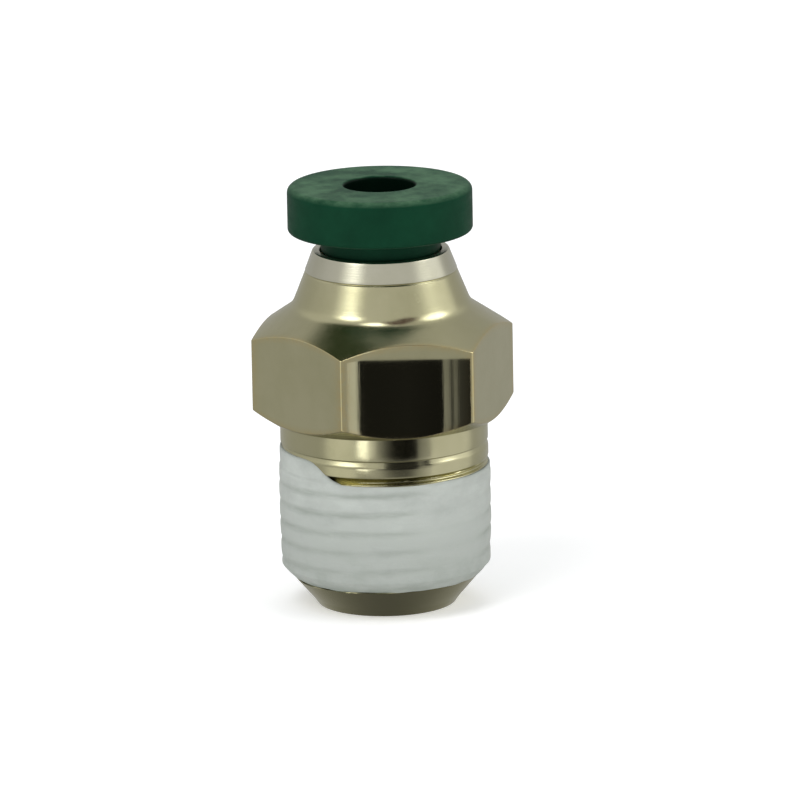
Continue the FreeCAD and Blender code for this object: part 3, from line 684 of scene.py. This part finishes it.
class FITTING_OT_retaining_ring(bpy.types.Operator):
    """Build the plated retaining ring that is pressed into the neck"""

    bl_idname = "fitting.retaining_ring"
    bl_label = "Retaining ring"

    def execute(self, context):
        sizes = context.scene.fitting_ring
        colours = context.scene.fitting_finishes
        top = RING_HIGH.z
        taper = (sizes.seam - sizes.top) / (top - sizes.seam_height)
        corners = [
            (sizes.mouth, top, 0.05 * MM),
            (sizes.mouth, sizes.mouth_bottom, 0),
            (sizes.lip, sizes.mouth_bottom, 0.03 * MM),
            (sizes.lip, sizes.lip_bottom, 0.03 * MM),
            (sizes.skirt_bore, sizes.lip_bottom, 0),
            (sizes.skirt_bore, RING_LOW.z, 0),
            (sizes.skirt, RING_LOW.z, 0),
            (sizes.skirt, sizes.seam_height, 0),
            (sizes.seam - sizes.seam_chamfer, sizes.seam_height, 0),
            (sizes.seam - taper * sizes.seam_chamfer, sizes.seam_height + sizes.seam_chamfer, 0.03 * MM),
            (sizes.top, top, sizes.edge_round),
        ]
        plating, worn = colours.bright_nickel, colours.worn_brass
        material = nickel_finish("bright_nickel_ring", plating, worn, milled=False)
        piece = turned_piece("retaining_ring_turning", corners, material, 256, 0.12 * MM)
        placed(piece, BODY, "nickel_plate", "retaining_ring")
        return {"FINISHED"}


class FITTING_OT_release_button(bpy.types.Operator):
    """Build the moulded release button: flange, neck, stem, snap bead and nose"""

    bl_idname = "fitting.release_button"
    bl_label = "Release button"

    def execute(self, context):
        sizes = context.scene.fitting_button
        top, low = BUTTON_HIGH.z, BUTTON_LOW.z
        corners = [
            (sizes.bore, top, sizes.lead_in),
            (sizes.bore, low, 0),
            (sizes.nose, low + sizes.nose_slope, 0.05 * MM),
            (sizes.nose, sizes.stem_bottom, 0.05 * MM),
            (sizes.stem, sizes.stem_bottom, 0.08 * MM),
            (sizes.stem, sizes.bead_top - sizes.bead_length, 0),
            (sizes.bead, sizes.bead_top, 0.03 * MM),
            (sizes.stem, sizes.bead_top, 0),
            (sizes.stem, sizes.neck_bottom, 0),
            (sizes.neck, sizes.neck_bottom, 0.04 * MM),
            (sizes.neck, sizes.flange_bottom, 0.05 * MM),
            (sizes.flange, sizes.flange_bottom, sizes.bottom_round),
            (sizes.flange, top, sizes.top_round),
        ]
        material = acetal_finish(context.scene.fitting_finishes, sizes.bore)
        piece = turned_piece("release_button_moulding", corners, material, 256, 0.16 * MM, 12)
        placed(piece, "release_button", "green_acetal", "release_button")
        return {"FINISHED"}


class FITTING_OT_inner_parts(bpy.types.Operator):
    """Finish the seal, the support washer, the grab ring and its teeth"""

    bl_idname = "fitting.inner_parts"
    bl_label = "Inner parts"

    def execute(self, context):
        colours = context.scene.fitting_finishes
        finishes = {
            "nitrile": inner_finish("nitrile_rubber", tuple(colours.nitrile), 0.45, 0.0, 12),
            "washer_plastic": inner_finish("washer_moulding", tuple(colours.washer), 0.45, 0.0, 10),
            "spring_steel": inner_finish("stamped_spring_steel", tuple(colours.spring), 0.28, 1.0, 9),
        }
        for node, finish in {**INNER_FINISHES, **{tooth: "spring_steel" for tooth in TEETH}}.items():
            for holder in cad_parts[node].material_slots:
                holder.material = finishes[finish]
        return {"FINISHED"}


# ---------------------------------------------------------------- stage


# The studio room's brightness at each elevation in degrees.
ROOM = ((-90, 0.10), (-62, 0.16), (-30, 0.36), (-12, 0.43), (8, 0.44), (28, 0.62), (55, 0.62), (80, 0.45))

# Soft discs on the studio sky, in degrees from the camera's azimuth; a later one covers an earlier one.
SKY_PATCHES = (
    # azimuth, elevation, inner, outer, red, green, blue
    (180, 34, 30, 50, 0.43, 0.43, 0.42),
    (88, 20, 14, 32, 1.0, 1.0, 0.98),
    (-50, 36, 9, 22, 1.15, 1.15, 1.12),
    (-48, 40, 9, 14, 3.4, 3.4, 3.3),
    (86, 40, 11, 17, 3.4, 3.4, 3.3),
    (-20, 75, 7, 11, 3.4, 3.4, 3.4),
    (32, 67, 10, 14, 0.07, 0.03, 0.03),
    (45, 51, 10, 14, 0.07, 0.03, 0.03),
    (-136, 70, 9, 24, 0.03, 0.045, 0.02),
    (-50, -14, 12, 22, 0.78, 0.78, 0.74),
    (80, -14, 24, 36, 0.72, 0.72, 0.7),
)

# Reflection cards: lowest and highest height, then (millimetres across, brightness) stripes.
CARDS = {
    "flat_card": (8.45, 12.5, (
        (-3.14, 0.4), (-2.9, 0.42), (-2.84, 0.62), (-2.5, 0.68), (-2.38, 0.5), (-2.34, 0.012), (0, 0.015),
        (1.7, 0.01), (1.76, 0.28), (2.0, 0.22), (2.12, 0.05), (2.3, 0.2), (2.5, 0.05), (3.14, 0.02),
    )),
    "collar_card": (7.06, 8.43, (
        (-4.72, 0.85), (-3.9, 0.8), (-3.3, 0.3), (-2.8, 0.2), (-1.9, 0.06), (-1.45, 0.03), (-1.3, 0.002),
        (1.3, 0.002), (1.5, 0.25), (2.65, 0.38), (3.0, 0.43),
    )),
    "collar_spot_card": (6.5, 7.95, (
        (-8.2, 0.5), (-8.1, 0.22), (-7.6, 0.24), (-7.4, 2.4), (-5.0, 2.3), (-4.74, 0.9),
    )),
    "band_card": (5.9, 7.04, (
        (-4.5, 0.5), (-3.0, 0.42), (-1.8, 0.17), (-0.9, 0.1), (0.2, 0.09), (0.8, 0.18), (1.65, 0.4),
        (3.0, 0.6),
    )),
}

# Softboxes: degrees from the camera's azimuth, elevation in degrees, disc's diameter in metres, watts.
SOFTBOXES = {
    "key_softbox": (-38, 52, 0.16, 0.26),
    "fill_softbox": (55, 38, 0.14, 0.12),
    "back_softbox": (170, 55, 0.16, 0.10),
}


def heading(azimuth, elevation):
    """The unit vector towards an azimuth, 0 at -Y and growing towards +X, and an elevation."""
    level = math.cos(elevation)
    return Vector((math.sin(azimuth) * level, -math.cos(azimuth) * level, math.sin(elevation)))


def studio_world(camera_azimuth):
    """A white background for the camera and an even pale light for the diffuse surfaces. Reflections see
    a room that grows from a dark floor through a mid grey wall to a lighter ceiling, with soft bright
    and dark patches. Each patch is a disc on the sky: the direction's dot product with its centre, eased
    between the cosines of its outer and inner half angles. Azimuths are relative to the camera's."""
    world = bpy.data.worlds.new("studio")
    bpy.context.scene.world = world
    world.use_nodes = True
    nodes, links = world.node_tree.nodes, world.node_tree.links
    background = nodes["Background"]
    direction = nodes.new("ShaderNodeTexCoord").outputs["Generated"]
    split = nodes.new("ShaderNodeSeparateXYZ")
    links.new(direction, split.inputs[0])
    lift = nodes.new("ShaderNodeMapRange")
    links.new(split.outputs[2], lift.inputs["Value"])
    lift.inputs["From Min"].default_value = -1
    room = nodes.new("ShaderNodeValToRGB")
    links.new(lift.outputs[0], room.inputs[0])
    room.color_ramp.elements.remove(room.color_ramp.elements[1])
    for index, (elevation, brightness) in enumerate(ROOM):
        where = (math.sin(math.radians(elevation)) + 1) / 2
        stop = room.color_ramp.elements[0] if index == 0 else room.color_ramp.elements.new(where)
        stop.position = where
        stop.color = (brightness, brightness, brightness * 0.97, 1)
    shade = room.outputs[0]
    for azimuth, elevation, inner, outer, *light in SKY_PATCHES:
        dot = nodes.new("ShaderNodeVectorMath")
        dot.operation = "DOT_PRODUCT"
        centre = heading(camera_azimuth + math.radians(azimuth), math.radians(elevation))
        dot.inputs[1].default_value = centre
        links.new(direction, dot.inputs[0])
        ease = nodes.new("ShaderNodeMapRange")
        ease.interpolation_type = "SMOOTHSTEP"
        ease.inputs["From Min"].default_value = math.cos(math.radians(outer))
        ease.inputs["From Max"].default_value = math.cos(math.radians(inner))
        links.new(dot.outputs["Value"], ease.inputs["Value"])
        shade = world_mix(nodes, links, ease.outputs[0], shade, light)
    rays = nodes.new("ShaderNodeLightPath").outputs
    shade = world_mix(nodes, links, rays["Is Diffuse Ray"], shade, (0.5, 0.51, 0.52))
    shade = world_mix(nodes, links, rays["Is Camera Ray"], shade, (1, 1, 1))
    links.new(shade, background.inputs["Color"])


def world_mix(nodes, links, factor, shade, colour):
    mix = nodes.new("ShaderNodeMix")
    mix.data_type = "RGBA"
    links.new(factor, mix.inputs[0])
    links.new(shade, mix.inputs[6])
    mix.inputs[7].default_value = (*colour, 1)
    return mix.outputs[2]


def stage_plane(name, width, depth, place, material):
    corners = [(x * width / 2, y * depth / 2, 0) for x, y in ((-1, -1), (1, -1), (1, 1), (-1, 1))]
    mesh = bpy.data.meshes.new(name)
    mesh.from_pydata([place @ Vector(corner) for corner in corners], [], [(0, 1, 2, 3)])
    mesh.materials.append(material)
    plane = bpy.data.objects.new(name, mesh)
    bpy.context.scene.collection.objects.link(plane)
    return plane


def floor_finish():
    """Pale painted floor."""
    finish = Finish("pale_floor", (0.93, 0.93, 0.93), 0.9, Specular_IOR_Level=0.1)
    finish.shader.inputs["Emission Color"].default_value = (1, 1, 1, 1)
    finish.shader.inputs["Emission Strength"].default_value = 0.3
    return finish.material


def card_finish(name, stripes):
    """A glowing studio card whose brightness follows (share across, brightness) stripes."""
    material = bpy.data.materials.new(name)
    material.use_nodes = True
    nodes, links = material.node_tree.nodes, material.node_tree.links
    nodes.clear()
    across = nodes.new("ShaderNodeUVMap")
    split = nodes.new("ShaderNodeSeparateXYZ")
    ramp = nodes.new("ShaderNodeValToRGB")
    glow = nodes.new("ShaderNodeEmission")
    out = nodes.new("ShaderNodeOutputMaterial")
    links.new(across.outputs[0], split.inputs[0])
    links.new(split.outputs[0], ramp.inputs[0])
    links.new(ramp.outputs[0], glow.inputs[0])
    links.new(glow.outputs[0], out.inputs[0])
    ramp.color_ramp.elements.remove(ramp.color_ramp.elements[1])
    for index, (where, brightness) in enumerate(stripes):
        stop = ramp.color_ramp.elements[0] if index == 0 else ramp.color_ramp.elements.new(where)
        stop.position = where
        stop.color = (brightness, brightness, brightness, 1)
    return material


def reflection_card(name, place, low, high, stripes):
    """A card that only reflections see. Its own X runs across it and its own Y up, both from the place;
    its stripes are (millimetres across, brightness) and the first and the last are its sides."""
    left, right = stripes[0][0], stripes[-1][0]
    middle = Matrix.Translation(((left + right) / 2 * MM, (low + high) / 2 * MM, 0))
    shares = [((across - left) / (right - left), brightness) for across, brightness in stripes]
    finish = card_finish(name, shares)
    card = stage_plane(name, (right - left) * MM, (high - low) * MM, place @ middle, finish)
    layer = card.data.uv_layers.new(name="across")
    layer.data.foreach_set("uv", [0, 0, 1, 0, 1, 1, 0, 1])
    card.visible_camera = False
    card.visible_diffuse = False
    card.visible_shadow = False
    card.visible_transmission = False


def reflection_cards(sizes):
    """Striped cards square to the line of sight's mirror image in the front flat. The tall dark one is what
    the flat mirrors; the low ones, of which the flat sees nothing, are for the collar and the band."""
    away = heading(-sizes.azimuth, 0)
    across = Vector((math.cos(sizes.azimuth), -math.sin(sizes.azimuth), 0))
    turn = Matrix((across, Vector((0, 0, 1)), -away)).transposed().to_4x4()
    place = Matrix.Translation(Vector((0, BODY_LOW.y, 0)) + away * sizes.card_distance) @ turn
    for name, (low, high, stripes) in CARDS.items():
        reflection_card(name, place, low, high, stripes)


def softbox(name, azimuth, elevation, distance, side, power, aim):
    light = bpy.data.lights.new(name, "AREA")
    light.shape = "DISK"
    light.size = side
    light.energy = power
    lamp = bpy.data.objects.new(name, light)
    lamp.location = aim + heading(azimuth, elevation) * distance
    lamp.rotation_mode = "QUATERNION"
    lamp.rotation_quaternion = (aim - lamp.location).to_track_quat("-Z", "Y")
    lamp.visible_glossy = False
    bpy.context.scene.collection.objects.link(lamp)


class FITTING_OT_stage(bpy.types.Operator):
    """Set the camera, the pale floor, the soft lights and the studio round the fitting"""

    bl_idname = "fitting.stage"
    bl_label = "Stage"

    def execute(self, context):
        sizes = context.scene.fitting_stage
        back = heading(sizes.azimuth, sizes.elevation)
        right = Vector((math.cos(sizes.azimuth), math.sin(sizes.azimuth), 0))
        aim = Vector((0, 0, sizes.aim_height)) + right * sizes.aim_side
        lens = bpy.data.cameras.new("camera")
        lens.sensor_width = sizes.sensor
        lens.lens = sizes.sensor * sizes.distance / sizes.view_width
        lens.clip_start, lens.clip_end = 0.01, 20
        camera = bpy.data.objects.new("camera", lens)
        camera.location = aim + back * sizes.distance
        camera.rotation_mode = "QUATERNION"
        camera.rotation_quaternion = (-back).to_track_quat("-Z", "Y")
        camera.rotation_quaternion.rotate(Matrix.Rotation(sizes.roll, 3, back))
        context.scene.collection.objects.link(camera)
        context.scene.camera = camera
        flat = Matrix.Translation((0, 0, CAD_BOX[0].z))
        floor = stage_plane("floor", sizes.floor, sizes.floor, flat, floor_finish())
        floor.visible_glossy = False
        reflection_cards(sizes)
        studio_world(sizes.azimuth)
        middle = (CAD_BOX[0] + CAD_BOX[1]) / 2
        for name, (azimuth, elevation, side, power) in SOFTBOXES.items():
            turn = sizes.azimuth + math.radians(azimuth)
            softbox(name, turn, math.radians(elevation), sizes.lamp_distance, side, power, middle)
        context.scene.view_settings.view_transform = "Standard"
        return {"FINISHED"}


class FITTING_PT_panel(bpy.types.Panel):
    """Lists the pieces of the fitting"""

    bl_idname = "FITTING_PT_panel"
    bl_label = "Push to connect fitting"
    bl_space_type = "VIEW_3D"
    bl_region_type = "UI"
    bl_category = "Fitting"

    def draw(self, context):
        for operator in OPERATORS:
            self.layout.operator(operator.bl_idname)


OPERATORS = (
    FITTING_OT_stage,
    FITTING_OT_body,
    FITTING_OT_sealant,
    FITTING_OT_retaining_ring,
    FITTING_OT_release_button,
    FITTING_OT_inner_parts,
)
GROUPS = {
    "fitting_body": FittingBodySizes,
    "fitting_sealant": FittingSealantSizes,
    "fitting_ring": FittingRingSizes,
    "fitting_button": FittingButtonSizes,
    "fitting_finishes": FittingFinishes,
    "fitting_stage": FittingStageSizes,
}


def register():
    for kind in (*GROUPS.values(), *OPERATORS, FITTING_PT_panel):
        bpy.utils.register_class(kind)
    for name, group in GROUPS.items():
        setattr(bpy.types.Scene, name, PointerProperty(type=group))


def unregister():
    for name in GROUPS:
        delattr(bpy.types.Scene, name)
    for kind in reversed((*GROUPS.values(), *OPERATORS, FITTING_PT_panel)):
        bpy.utils.unregister_class(kind)


def main():
    register()
    bpy.ops.fitting.stage()
    bpy.ops.fitting.body()
    bpy.ops.fitting.sealant()
    bpy.ops.fitting.retaining_ring()
    bpy.ops.fitting.release_button()
    bpy.ops.fitting.inner_parts()


if __name__ == "__main__":
    main()
